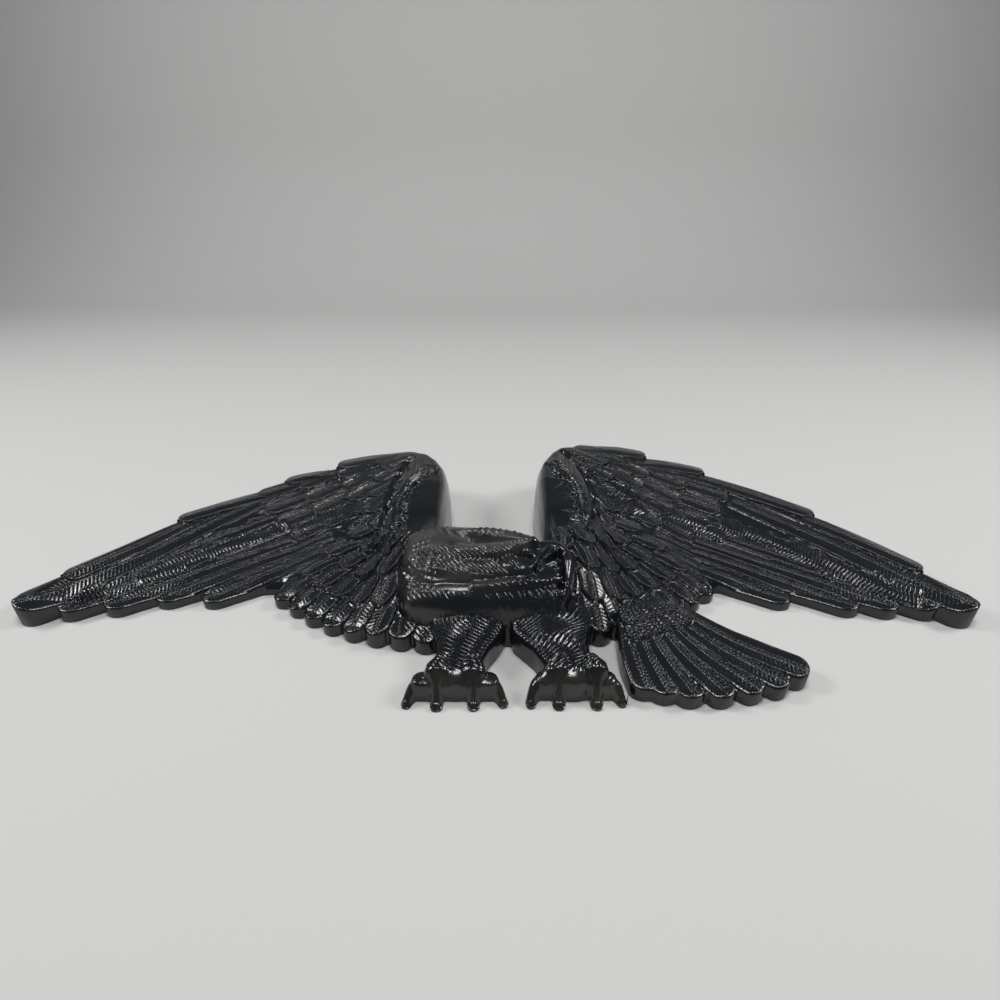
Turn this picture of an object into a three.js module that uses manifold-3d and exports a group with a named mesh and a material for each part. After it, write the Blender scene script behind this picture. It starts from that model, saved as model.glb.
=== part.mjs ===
// Eagle wall plaque: one casting of a perched eagle with spread wings, its head turned to the viewer's
// right.
//
// Millimetres. +X runs to the viewer's right, +Z up the wall, and the front faces -Y. The flat back lies on
// y = 0. The origin is on the hanging pad behind the breast. Points on the wall plane are [x, z], and a
// height is how far a surface stands off the wall. Every form runs back to the wall plane, as on a casting
// made in a two-part mould.

import * as THREE from 'three';
import { mergeVertices } from 'three/addons/utils/BufferGeometryUtils.js';
import Module from 'manifold-3d';

// Casting
const WALL = 5; // thickness of the metal over the hollow back
const PAD = { left: -17, right: 17, bottom: -14, top: 28 }; // the hanging pad, left solid in the hollow back
const KEYHOLE = { head: 4.5, neck: 2.2, bottom: 11, top: 21, depth: 7 };

// Heights off the wall
const WRIST_HEIGHT = { left: 47, right: 51 };
const WING_TIP_HEIGHT = 15;
// Heights of the trailing edge by the distance from the middle, and of the arm by z, in shares of the wrist's
const TRAILING_HEIGHTS = [[40, 8], [160, 6], [210, 6], [260, 7], [310, 9], [340, 16]];
const ARM_HEIGHTS = [[-42, 0.17], [-15, 0.36], [10, 0.64], [36, 0.8], [74, 0.94], [118, 1]];
const THIGH_HEIGHT = 23;
const FOOT_HEIGHT = 20;
const TAIL_HEIGHT = 11;

// Both wings are written with x as the distance from the middle. side is -1 for the wing on the viewer's
// left. lead and trail are the edges of the wing under its feathers. leadEdges are the outer edges of the
// four feathers that step down the leading edge, each as its start, its middle and its tip. wingTip is the
// middle line of the longest feather, and band the line of down along the arm.
const LEFT_WING = {
  side: -1,
  wrist: WRIST_HEIGHT.left,
  innerFoot: 37.5,
  lead: [
    [37.5, 118], [39, 136], [42, 150], [49, 165], [60, 178], [78, 183],
    [148, 158], [191, 136], [232, 108], [266, 88], [323, 20], [331, 0],
  ],
  trail: [[37, -36], [72, -34], [104, -20], [139, -2], [160, 18], [207, 16], [280, 8], [334, -4]],
  leadEdges: [
    [[80, 184], [112, 184], [149, 175]],
    [[150, 160], [172, 158], [192, 151]],
    [[191, 138], [232, 120], [270, 99]],
    [[266, 91], [294, 61], [327, 28]],
  ],
  wingTip: [[205, 115], [262, 62], [317, 11], [339, -8]],
  primaryTips: [[311, -5], [281, 0], [248, 9], [214, 9]],
  secondaryArc: [[160, 8], [123, -18], [86, -33], [43, -41]],
  band: [[55, 146], [68, 122], [76, 96], [75, 66], [80, 30]],
};
const RIGHT_WING = {
  side: 1,
  wrist: WRIST_HEIGHT.right,
  innerFoot: 36,
  lead: [
    [36, 118], [38, 140], [42, 155], [50, 172], [61, 184], [89, 188],
    [147, 177], [198, 154], [228, 140], [260, 115], [278, 96], [326, 25], [333, 0],
  ],
  trail: [[37, -34], [72, -32], [104, -22], [139, -4], [160, 20], [207, 18], [280, 4], [333, -8]],
  leadEdges: [
    [[86, 193], [120, 196], [148, 190]],
    [[146, 178], [172, 175], [199, 167]],
    [[198, 157], [240, 134], [280, 107]],
    [[278, 98], [308, 68], [335, 36]],
  ],
  wingTip: [[210, 118], [272, 66], [319, 15], [342, -12]],
  primaryTips: [[321, -4], [294, -2], [267, 0], [221, 8]],
  secondaryArc: [[165, 14], [134, -8], [98, -26], [58, -38]],
  band: [[52, 148], [60, 124], [70, 102], [71, 78], [66, 58]],
};
const ARM_REACH = [66, 102]; // where the arm's height begins and ends to fade into the open wing
const ARM_FOOT = -10; // the lower end of the arm, hidden in the body
const ARM_ROLL = { width: 21, power: 2.4 }; // how broadly the arm's inner side is rounded over
const PRIMARY_WIDTH = 20;

const wasm = await Module();
wasm.setup();

const lerp = THREE.MathUtils.lerp;
const clamp = THREE.MathUtils.clamp;

// The height of a broken line at x. The line's points run from low x to high x.
function along(line, x) {
  const next = line.findIndex((point) => point[0] > x);
  if (next === 0) return line[0][1];
  if (next < 0) return line[line.length - 1][1];
  const [a, b] = [line[next - 1], line[next]];
  return lerp(a[1], b[1], (x - a[0]) / (b[0] - a[0]));
}

// A closed solid run through upright sections. Each section has a place on the wall plane, a direction
// across, and a profile of [distance across, height] pairs that goes once round the section.
function loft(sections) {
  const positions = [];
  const index = [];
  const ring = sections[0].profile.length;
  for (const { place, across, profile } of sections) {
    for (const [a, height] of profile) {
      positions.push(place.x + across.x * a, -height, place.y + across.y * a);
    }
  }
  for (let i = 0; i < sections.length - 1; i += 1) {
    for (let j = 0; j < ring; j += 1) {
      const here = i * ring + j;
      const beside = i * ring + ((j + 1) % ring);
      index.push(here, here + ring, beside, beside, here + ring, beside + ring);
    }
  }
  const cap = (section, first, flip) => {
    const outline = section.profile.map(([a, height]) => new THREE.Vector2(a, height));
    for (const [a, b, c] of THREE.ShapeUtils.triangulateShape(outline, [])) {
      index.push(first + a, first + (flip ? c : b), first + (flip ? b : c));
    }
  };
  const last = sections.length - 1;
  const firstOutline = sections[0].profile.map(([a, height]) => new THREE.Vector2(a, height));
  const clockwise = THREE.ShapeUtils.isClockWise(firstOutline);
  cap(sections[0], 0, clockwise);
  cap(sections[last], last * ring, !clockwise);
  return facingOut(positions, index);
}

// A geometry whose triangles all point outwards, whichever way round its sections were given.
function facingOut(positions, index) {
  let volume = 0;
  const corner = (i) => new THREE.Vector3().fromArray(positions, index[i] * 3);
  for (let i = 0; i < index.length; i += 3) {
    volume += corner(i).dot(corner(i + 1).cross(corner(i + 2)));
  }
  if (volume < 0) index.reverse();
  const geometry = new THREE.BufferGeometry();
  geometry.setAttribute('position', new THREE.Float32BufferAttribute(positions, 3));
  geometry.setIndex(index);
  return geometry;
}

function solid(geometry) {
  const bare = geometry.clone();
  bare.deleteAttribute('normal');
  bare.deleteAttribute('uv');
  const merged = mergeVertices(bare, 1e-4);
  return new wasm.Manifold(new wasm.Mesh({
    numProp: 3,
    vertProperties: Float32Array.from(merged.attributes.position.array),
    triVerts: Uint32Array.from(merged.index.array),
  }));
}

function joined(parts) {
  return parts.reduce((whole, part) => whole.add(part));
}

const curve = (points) => new THREE.SplineCurve(points.map((point) => new THREE.Vector2(...point)));

// A gently bowed line between two points on the wall plane.
function bowed(root, tip, bow) {
  const side = new THREE.Vector2(root[1] - tip[1], tip[0] - root[0]).normalize().multiplyScalar(bow);
  return curve([root, [(root[0] + tip[0]) / 2 + side.x, (root[1] + tip[1]) / 2 + side.y], tip]);
}

// One feather along a path from its root to its rounded tip, with a raised middle and a lip along one edge
// that lies over the next feather. ground gives the surface that it lies on, lift how far its root and its
// tip stand over that, and round how many widths the rounding of the tip takes.
function feather({
  path, width, ground, lift = [0, 2.5], crown = 1, lip = 1.2, lipSide = 1, taper = 0.7, round = 0.4,
}) {
  const length = path.getLength();
  const stations = length > 90 ? [0, 0.3, 0.6, 0.85, 0.96, 1] : [0, 0.55, 0.88, 1];
  const roundShare = width * round / length;
  return loft(stations.map((t) => {
    const place = path.getPointAt(t);
    const direction = path.getTangentAt(t);
    const rounding = Math.sqrt(clamp((1 - t) / roundShare, 0.12, 1));
    const half = 0.5 * width * lerp(taper, 1, Math.min(1, t * 1.6)) * rounding;
    const height = Math.max(3, ground(place.x, place.y) + lerp(lift[0], lift[1], t));
    const edges = [height - lip * lipSide, height + lip * lipSide];
    return {
      place,
      across: new THREE.Vector2(-direction.y, direction.x),
      profile: [[-half, 0], [half, 0], [half, edges[1]], [0, height + crown], [-half, edges[0]]],
    };
  }));
}

// The top of a wing before its feathers: high along the leading edge and the arm, and low at the trailing
// edge.
function wingGround(wing) {
  return (x, z) => {
    const a = Math.abs(x);
    const trail = along(wing.trail, a);
    const lead = along(wing.lead, Math.max(a, 60));
    const share = clamp((z - trail) / (lead - trail), 0, 1);
    const leadHeight = along([[60, wing.wrist], [340, WING_TIP_HEIGHT]], a);
    const open = lerp(along(TRAILING_HEIGHTS, a), leadHeight, share ** 0.75);
    const arm = Math.max(open, wing.wrist * along(ARM_HEIGHTS, z));
    return lerp(arm, open, THREE.MathUtils.smoothstep(a, ARM_REACH[0], ARM_REACH[1]));
  };
}

// The body of a wing under its feathers. inset and sink make the hollow behind it from the same lines, which
// ends short of the tip, where the casting is solid.
function wingCore(wing, inset, sink) {
  const ground = wingGround(wing);
  const stations = [58, 68, 88, 110, 148, 190, 232, 268, 300, 328].filter((a) => a < 310 || inset === 0);
  const base = inset > 0 ? -1 : 0;
  return loft(stations.map((a) => {
    const low = along(wing.trail, a) + 4 + inset;
    const high = along(wing.lead, a) - inset;
    const roof = [0, 0.25, 0.6, 1].map((share) => {
      const z = lerp(low, high, share);
      return [z, ground(a, z) - 1 - sink];
    });
    return {
      place: new THREE.Vector2(wing.side * (a + (a < 70 ? inset : 0)), 0),
      across: new THREE.Vector2(0, 1),
      profile: [[high, base], [low, base], ...roof],
    };
  }));
}

// The bare inner side of the wing's arm, rounded over from its top down to the wall beside the head, and the
// band of down along it.
function arm(wing) {
  const armHeight = (z) => wing.wrist * along(ARM_HEIGHTS, z);
  const bank = loft([0.5, 2, 5, 10, 16, 23, 33].map((fromEdge) => {
    const a = wing.innerFoot + fromEdge;
    const top = along(wing.lead, a);
    const left = Math.max(0, 1 - fromEdge / ARM_ROLL.width);
    const roll = (1 - left ** ARM_ROLL.power) ** (1 / ARM_ROLL.power);
    const roof = [0, 0.25, 0.5, 0.75, 0.95, 1].map((share) => {
      const z = lerp(ARM_FOOT, top, share);
      return [z, armHeight(z) * roll * (share === 1 ? 0.8 : 1)];
    });
    return {
      place: new THREE.Vector2(wing.side * a, 0),
      across: new THREE.Vector2(0, 1),
      profile: [[top, 0], [ARM_FOOT, 0], ...roof],
    };
  }));
  const band = ridge({
    points: wing.band.map(([a, z]) => [wing.side * a, z]),
    widths: [13, 14, 13, 11, 9],
    heights: wing.band.map(([, z]) => armHeight(z) + 1.6),
    crown: 3,
  });
  return [bank, band];
}

// Long feathers of the hand: four that step down the leading edge, the longest, which makes the wing's tip,
// and four that fan to the trailing edge.
function longFeathers(wing) {
  const { side } = wing;
  const ground = wingGround(wing);
  const leading = wing.leadEdges.map((edge, i) => {
    const width = i === 0 ? 22 : 20;
    const [start, middle, tip] = edge.map((point) => new THREE.Vector2(...point));
    const runIn = start.clone().sub(middle).setLength([4, 40, 50, 60][i]).add(start);
    const points = [runIn, start, middle, tip].map((point, j, all) => {
      const before = all[Math.max(0, j - 1)];
      const after = all[Math.min(3, j + 1)];
      const direction = after.clone().sub(before).normalize();
      const shift = width / 2 + (j === 0 ? 6 : 0);
      return [side * (point.x + direction.y * shift), point.y - direction.x * shift];
    });
    return { path: curve(points), width, ground, lipSide: -side, lift: [-1, 2] };
  });
  const longest = {
    path: curve(wing.wingTip.map(([x, z]) => [side * x, z])),
    width: 28,
    ground,
    lipSide: -side,
    lift: [0, 1],
    round: 0.4,
  };
  const roots = [[168, 84], [150, 74], [130, 70], [122, 56]];
  const fan = wing.primaryTips.map((tip, i) => ({
    path: bowed([side * roots[i][0], roots[i][1]], [side * tip[0], tip[1]], side * 3),
    width: PRIMARY_WIDTH,
    ground,
    lipSide: -side,
    lip: 0.8,
    lift: [0, 0],
  }));
  return [...fan, longest, ...leading].map(feather);
}

// A row of overlapping short feathers whose tips lie along a curve. The first and the last turn give their
// slant.
function featherRow({ arc, count, length, width, turn, ground, lift, side }) {
  const tips = curve(arc);
  return Array.from({ length: count }, (_, i) => {
    const t = i / (count - 1);
    const tip = tips.getPointAt(t);
    const angle = THREE.MathUtils.degToRad(lerp(turn[0], turn[1], t));
    const reach = lerp(length[0], length[1], t);
    const root = [tip.x - side * Math.cos(angle) * reach, tip.y + Math.sin(angle) * reach];
    const path = bowed(root, [tip.x, tip.y], side * 2);
    return feather({ path, width, ground, lift, lipSide: -side });
  });
}

// Short feathers of a wing: the secondaries along the body side of the trailing edge, and the coverts above
// them.
function shortFeathers(wing) {
  const { side } = wing;
  const ground = wingGround(wing);
  const secondaries = [0, 1, 2, 3].map((row) => ({
    arc: wing.secondaryArc.map(([x, z], i) => [
      side * (x - [15, 9, 5, 2][i] * row), z + [17, 19, 20, 21][i] * row,
    ]),
    count: 8 - row,
    length: [40 - 4 * row, 32 - 3 * row],
    width: 20 - row,
    turn: [32, 84],
    ground,
    lift: [0, 0.6 + 1.1 * row],
    side,
  }));
  const hand = [0, 1, 2].map((row) => ({
    arc: [
      [side * (208 - 33 * row), 122 + 12 * row],
      [side * (190 - 30 * row), 94 + 13 * row],
      [side * (164 - 24 * row), 68 + 12 * row],
    ],
    count: 4,
    length: [62 - 10 * row, 62 - 10 * row],
    width: 21,
    turn: [24 + 4 * row, 30 + 8 * row],
    ground,
    lift: [0, 3 + 0.5 * row],
    side,
  }));
  return [...secondaries, ...hand].flatMap(featherRow);
}

// A value that runs through three given ones at the left end, the middle and the right end, for q from -1
// to 1.
function through([left, middle, right], q) {
  return middle + (right - left) / 2 * q + ((right + left) / 2 - middle) * q * q;
}

// The body and the head as one mass, by the lines that run along it from the viewer's left to right. Each
// line has its z and its height at the left end, the middle and the right end.
const BODY_SPAN = [-66, 62];
const BODY_LINES = [
  { z: [33, 53, 19], height: [22, 29, 20] }, // back of the head
  { z: [29, 47, 18], height: [32, 42, 29] },
  { z: [22, 36, 11], height: [36, 45, 33] }, // brow
  { z: [12, 20, 3], height: [38, 47, 35] },
  { z: [0, -4, -6], height: [37, 46, 36] }, // cheek
  { z: [-8, -13, -12], height: [35, 42, 35] }, // throat
  { z: [-14, -23, -18], height: [33, 41, 34] }, // breast
  { z: [-20, -32, -26], height: [30, 37, 31] },
  { z: [-24, -36, -32], height: [20, 22, 20] }, // under the breast
];
function bodyMass(sink = 0, inset = 0) {
  const [left, right] = [BODY_SPAN[0] + inset, BODY_SPAN[1] - inset];
  const [first, last] = [BODY_LINES[0], BODY_LINES[BODY_LINES.length - 1]];
  const middle = (first.z[1] + last.z[1]) / 2;
  const shrink = 1 - inset / (first.z[1] - middle);
  const base = inset > 0 ? -1 : 0;
  return loft([-1, -0.95, -0.85, -0.6, -0.2, 0.2, 0.6, 0.85, 0.95, 1].map((q) => {
    const shoulder = 1 - 0.4 * Math.max(0, (Math.abs(q) - 0.8) / 0.2) ** 2;
    const crest = BODY_LINES.map(({ z, height }) => [
      middle + (through(z, q) - middle) * shrink,
      through(height, q) * shoulder - sink,
    ]);
    return {
      place: new THREE.Vector2(lerp(left, right, (q + 1) / 2), 0),
      across: new THREE.Vector2(0, 1),
      profile: [[crest[crest.length - 1][0], base], [crest[0][0], base], ...crest],
    };
  }));
}

// A rounded form that stands on the wall: a half ball with a straight skirt below it.
function dome({ at, radius, top, base = 0, around = 14, up = 3 }) {
  const outline = [new THREE.Vector2(0, 0), new THREE.Vector2(1, 0)];
  for (let i = 0; i < up; i += 1) {
    const a = (i / up) * Math.PI / 2;
    outline.push(new THREE.Vector2(Math.cos(a), base + (top - base) * Math.sin(a)));
  }
  outline.push(new THREE.Vector2(0, top));
  const geometry = new THREE.LatheGeometry(outline, around);
  geometry.scale(radius[0], 1, radius[1]);
  geometry.rotateX(Math.PI);
  geometry.translate(at[0], 0, at[1]);
  return geometry;
}

// A bar with a rounded top that follows a curve on the wall plane.
function ridge({ points, widths, heights, crown = 2, steps = 5 }) {
  const path = new THREE.SplineCurve(points.map((point) => new THREE.Vector2(...point)));
  const value = (list, t) => along(list.map((v, i) => [i / (list.length - 1), v]), Math.min(t, 0.9999));
  return loft(Array.from({ length: steps + 1 }, (_, i) => {
    const t = i / steps;
    const direction = path.getTangent(t);
    const half = value(widths, t) / 2;
    const height = value(heights, t);
    return {
      place: path.getPoint(t),
      across: new THREE.Vector2(-direction.y, direction.x),
      profile: [
        [-half, 0], [half, 0], [half, height - crown], [half * 0.55, height], [-half * 0.55, height],
        [-half, height - crown],
      ],
    };
  }));
}

// The head looks to the viewer's right: a rounded nape, a brow with a knob over the eye, the crown behind
// it, and an open beak, whose hooked upper half arches over the mouth.
function headParts() {
  return [
    dome({ at: [-35, 20], radius: [31, 32], top: 53.5, base: 34, around: 20, up: 4 }),
    ridge({
      points: [[-30, 40], [-6, 36.5], [13, 30], [29, 20]],
      widths: [10, 11, 10, 7],
      heights: [48, 49.5, 51, 55],
      crown: 3,
    }),
    ridge({
      points: [[-42, 8], [-16, 9], [8, 10], [29, 16]],
      widths: [12, 15, 13, 8],
      heights: [49, 53, 55, 57],
      crown: 4,
    }),
    ridge({
      points: [[-40, -4], [-14, -4], [12, -6]],
      widths: [20, 21, 12],
      heights: [46, 49, 48],
      crown: 5,
    }),
    ridge({ points: [[20, 2], [32, 9], [41, 16]], widths: [26, 20, 13], heights: [51, 50, 49], crown: 4 }),
    ridge({ points: [[24, -6], [36, -3], [45, 2]], widths: [12, 20, 21], heights: [45, 44, 43], crown: 3 }),
    ridge({
      points: [[37, 20], [45, 20], [51.5, 14], [54, 4], [54, -6], [52, -16], [49, -24]],
      widths: [8, 8, 7, 6.5, 6, 5, 3],
      heights: [50, 50, 49.5, 48, 46, 43, 40],
      crown: 2,
      steps: 9,
    }),
    ridge({
      points: [[8, -17], [26, -15], [46, -10]],
      widths: [9, 9.5, 4],
      heights: [45, 45, 42],
      crown: 3,
    }),
    dome({ at: [30, 15.5], radius: [5, 4.5], top: 57, base: 48, around: 8, up: 2 }),
  ];
}

function legParts() {
  const thigh = (points, widths) => ridge({
    points, widths, heights: [28, THIGH_HEIGHT + 1, THIGH_HEIGHT, THIGH_HEIGHT - 3], crown: 6, steps: 5,
  });
  return [
    thigh([[-16, -16], [-17, -38], [-20, -58], [-21, -76]], [52, 40, 30, 24]),
    thigh([[38, -16], [43, -38], [48, -58], [52, -76]], [56, 42, 30, 26]),
  ];
}

// One foot: the web between the toes, with an upright front, and four toes, each from its knuckle over the
// front and down to its talon's end on the wall. The ends of the talons run from the viewer's left to right,
// and the outer two toes begin a step inward of theirs.
function footParts({ front, ends, inward }) {
  const [first, , , last] = ends;
  const web = ridge({
    points: [[first[0] + 5, front + 6], [last[0] - 5, front + 6]],
    widths: [12, 12],
    heights: [FOOT_HEIGHT - 1, FOOT_HEIGHT - 1],
    crown: 1,
    steps: 1,
  });
  const toes = ends.map(([x, end], i) => {
    const outer = i === 0 || i === 3;
    const turn = i === 0 ? 1 : -1;
    const points = outer
      ? [[x + turn * inward, front + 8], [x + turn * 6, front + 6], [x + turn * 0.5, front], [x, end]]
      : [[x + (i === 1 ? 2 : -2), front + 16], [x, front + 8], [x, front + 1], [x, end]];
    const rises = outer ? [1, -1, -5, -15] : [4, 6, 1, -15];
    return ridge({
      points,
      widths: outer ? [12, 11, 8, 6] : [14, 15, 9, 7],
      heights: rises.map((rise) => FOOT_HEIGHT + rise),
      crown: 3,
      steps: 6,
    });
  });
  return [web, ...toes];
}

function tailParts() {
  const ground = (x, z) => TAIL_HEIGHT + lerp(-2, 8, clamp((z + 80) / 60, 0, 1));
  const tips = [[97, -80], [110, -83], [126, -85], [146, -84], [166, -80], [184, -75], [200, -66]];
  return tips.map((tip, i) => {
    const share = i / (tips.length - 1);
    const path = bowed([lerp(93, 121, share), lerp(-20, -11, share)], tip, lerp(-2, -5, share));
    return feather({ path, width: 20, ground, lift: [1, 0], lipSide: -1, taper: 0.6 });
  });
}

// The hollow in the back, a wall's thickness inside every form, with the hanging pad left standing in it.
function hollow() {
  const wings = [LEFT_WING, RIGHT_WING].map((wing) => solid(wingCore(wing, 7, WALL)));
  const body = solid(bodyMass(WALL + 1, 8));
  const padShape = new THREE.Shape([
    new THREE.Vector2(PAD.left, PAD.bottom), new THREE.Vector2(PAD.right, PAD.bottom),
    new THREE.Vector2(PAD.right, PAD.top), new THREE.Vector2(PAD.left, PAD.top),
  ]);
  const pad = new THREE.ExtrudeGeometry(padShape, { depth: 60, bevelEnabled: false });
  pad.rotateX(Math.PI / 2);
  return joined([...wings, body]).subtract(solid(pad));
}

// A blind keyhole in the hanging pad: the screw's head goes in below and its neck slides up the slot.
function keyhole() {
  const { head, neck, bottom, top, depth } = KEYHOLE;
  const shape = new THREE.Shape();
  const start = Math.acos(neck / head);
  shape.absarc(0, bottom, head, start, Math.PI - start, true);
  shape.absarc(0, top, neck, Math.PI, 0, true);
  const settings = { depth: depth + 1, bevelEnabled: false, curveSegments: 10 };
  const geometry = new THREE.ExtrudeGeometry(shape, settings);
  geometry.rotateX(Math.PI / 2);
  geometry.translate(0, 1, 0);
  return solid(geometry);
}

function eagle() {
  const forms = [
    ...[LEFT_WING, RIGHT_WING].flatMap((wing) => [
      wingCore(wing, 0, 0), ...arm(wing), ...longFeathers(wing), ...shortFeathers(wing),
    ]),
    bodyMass(),
    ...headParts(),
    ...legParts(),
    ...footParts({ front: -81, ends: [[-52, -85], [-32.5, -88], [-10, -87], [9, -84]], inward: 22 }),
    ...footParts({ front: -80, ends: [[24, -85], [42, -86], [65, -86], [81.5, -84.5]], inward: 16 }),
    ...tailParts(),
  ];
  const casting = joined(forms.map(solid)).subtract(hollow()).subtract(keyhole());
  const { numProp, vertProperties, triVerts } = casting.asOriginal().getMesh();
  const points = new Float32Array(triVerts.length * 3);
  triVerts.forEach((vertex, i) => {
    const first = vertex * numProp;
    points.set(vertProperties.subarray(first, first + 3), i * 3);
  });
  const geometry = new THREE.BufferGeometry();
  geometry.setAttribute('position', new THREE.BufferAttribute(points, 3));
  geometry.computeVertexNormals();
  return geometry;
}

const blackPaint = new THREE.MeshStandardMaterial({ color: 0x0b0b0c, roughness: 0.28, metalness: 0.0 });
const plaque = new THREE.Group();
const casting = new THREE.Mesh(eagle(), blackPaint);
casting.name = 'eagle';
plaque.add(casting);

export default plaque;
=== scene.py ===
import math

import bpy
import numpy as np
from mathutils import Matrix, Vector


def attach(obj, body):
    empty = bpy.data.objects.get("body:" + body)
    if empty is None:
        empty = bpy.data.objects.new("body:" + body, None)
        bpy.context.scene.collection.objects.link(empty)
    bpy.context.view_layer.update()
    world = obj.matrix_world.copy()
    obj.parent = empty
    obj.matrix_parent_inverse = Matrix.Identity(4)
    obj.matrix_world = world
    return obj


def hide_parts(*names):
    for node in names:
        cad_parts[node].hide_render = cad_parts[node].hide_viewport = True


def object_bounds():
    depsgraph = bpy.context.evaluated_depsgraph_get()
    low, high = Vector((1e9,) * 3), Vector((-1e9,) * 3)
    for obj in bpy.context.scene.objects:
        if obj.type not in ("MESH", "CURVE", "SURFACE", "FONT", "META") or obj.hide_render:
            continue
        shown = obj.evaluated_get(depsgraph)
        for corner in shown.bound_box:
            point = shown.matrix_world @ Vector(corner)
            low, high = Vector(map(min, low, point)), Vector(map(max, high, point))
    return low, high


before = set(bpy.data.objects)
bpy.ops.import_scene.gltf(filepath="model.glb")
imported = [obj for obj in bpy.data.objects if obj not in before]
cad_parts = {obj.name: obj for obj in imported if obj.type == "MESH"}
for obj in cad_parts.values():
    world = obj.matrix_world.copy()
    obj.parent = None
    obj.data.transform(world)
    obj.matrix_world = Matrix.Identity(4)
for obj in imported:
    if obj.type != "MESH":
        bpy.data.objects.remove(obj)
cad_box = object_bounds()

# The wings, cast in iron or aluminium in one piece with the bird, as a relief over the wall plane that leaves its
# sand mould. Each is high at the rolled rim of the arm and the wrist, and runs down to a thin tip and trailing
# edge. Its feathers are laid from the edges inwards, each over the next.
GRAIN = 0.55  # millimetres between two points of the relief
LEFT_END, RIGHT_END, LOW_END, HIGH_END = -346, 349, -94, 200
NOWHERE = -60.0
x_line = np.arange(LEFT_END, RIGHT_END, GRAIN)
z_line = np.arange(LOW_END, HIGH_END, GRAIN)
X, Z = np.meshgrid(x_line, z_line)
top = np.full(X.shape, -1.0)  # how far the front stands off the wall
spill = np.full(X.shape, -1.0)  # the front's height just outside its edges, which the outline borrows
inside = np.full(X.shape, NOWHERE)  # distance inside the casting's outline
# How a feather is cut: the distance along it, off its quill and in from its border, and how strongly its barbs and
# the beads of its quill and border are cut. At FAR from a quill or a border neither shows.
cuts = {name: np.zeros(X.shape) for name in ("along", "across", "edge", "barb", "bead")}
FAR = 9

WING_TIP_HEIGHT = 15
TRAILING_HEIGHTS = [(40, 8), (160, 6), (210, 6), (260, 7), (310, 9), (340, 16)]
ARM_HEIGHTS = [(-42, 0.17), (-15, 0.36), (10, 0.64), (36, 0.8), (74, 0.94), (118, 1)]  # shares of the wrist's
ARM_SPAN, ARM_FADE = 66, 36  # how far out the arm's roll reaches, and over what it fades into the open wing
RIM_ROLL, ARM_ROLL = 9, 12  # how wide the rounded edge is along the leading edge, and beside the head
LEFT_WING = dict(
    side=-1, wrist=47,
    lead=[(37.5, 118), (39, 136), (42, 150), (49, 165), (60, 178), (78, 183), (148, 158), (191, 136), (232, 108),
          (266, 88), (323, 20), (331, 0)],
    trail=[(37.5, -36), (72, -34), (104, -20), (139, -2), (160, 18), (207, 16), (280, 8), (334, -4)],
    lead_edges=[[(80, 184), (112, 184), (149, 175)], [(150, 160), (172, 158), (192, 151)],
                [(191, 138), (232, 120), (270, 99)], [(266, 91), (294, 61), (327, 28)]],
    wing_tip=[(205, 115), (262, 62), (317, 11), (339, -8)],
    primary_tips=[(311, -5), (281, 0), (248, 9), (214, 9)],
    secondary_arc=[(160, 8), (123, -18), (86, -33), (43, -41)],
    band=[(55, 146), (68, 122), (76, 96), (75, 66), (80, 30)],
    groove=[(77, 166), (85, 138), (90, 112), (89, 84), (91, 58), (96, 34)],
    hatched=[([(170, 84), (206, 64), (238, 46), (268, 22)], 15, 1.0), ([(286, 14), (298, 4), (306, -2)], 14, 1.3),
             ([(112, 104), (138, 92), (160, 78)], 16, 1.2), ([(92, 160), (120, 152), (142, 140)], 14, 1.1)],
)
RIGHT_WING = dict(
    side=1, wrist=51,
    lead=[(36, 118), (38, 140), (42, 155), (50, 172), (61, 184), (89, 188), (147, 177), (198, 154), (228, 140),
          (260, 115), (278, 96), (326, 25), (333, 0)],
    trail=[(36, -34), (72, -32), (104, -22), (139, -4), (160, 20), (207, 18), (280, 4), (333, -8)],
    lead_edges=[[(86, 193), (120, 196), (148, 190)], [(146, 178), (172, 175), (199, 167)],
                [(198, 157), (240, 134), (280, 107)], [(278, 98), (308, 68), (335, 36)]],
    wing_tip=[(210, 118), (272, 66), (319, 15), (342, -12)],
    primary_tips=[(321, -4), (294, -2), (267, 0), (221, 8)],
    secondary_arc=[(165, 14), (134, -8), (98, -26), (58, -38)],
    band=[(52, 148), (60, 124), (70, 102), (71, 78), (66, 58)],
    groove=[(64, 170), (77, 142), (84, 114), (85, 88), (81, 66), (72, 44)],
    hatched=[([(190, 88), (238, 58), (276, 26), (312, 0)], 21, 1.2), ([(72, 162), (96, 132), (132, 104)], 18, 1.5),
             ([(92, 118), (112, 104), (130, 90)], 15, 1.2), ([(140, 96), (166, 84), (190, 70)], 18, 1.1)],
)


def mix(a, b, share):
    return a + (b - a) * share


def smooth(share):
    share = np.clip(share, 0, 1)
    return share * share * (3 - 2 * share)


def broken(line, x):
    """The height of a broken line over x."""
    return np.interp(x, [p[0] for p in line], [p[1] for p in line])


def wing_ground(wing, x, z):
    """The top of a wing before its feathers, with the arm as a broad roll beside the head."""
    a = np.abs(x)
    trail, lead = broken(wing["trail"], a), broken(wing["lead"], np.maximum(a, 60))
    share = np.clip((z - trail) / (lead - trail), 0, 1)
    lead_height = broken([(60, wing["wrist"]), (340, WING_TIP_HEIGHT)], a)
    open_wing = mix(broken(TRAILING_HEIGHTS, a), lead_height, share ** 0.75)
    arm = wing["wrist"] * broken(ARM_HEIGHTS, z)
    return mix(np.maximum(arm, open_wing), open_wing, smooth((a - ARM_SPAN) / ARM_FADE))


def window_of(low, high):
    """The points of the relief between two corners."""
    return (slice(*np.searchsorted(z_line, [low[1], high[1]])), slice(*np.searchsorted(x_line, [low[0], high[0]])))


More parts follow.
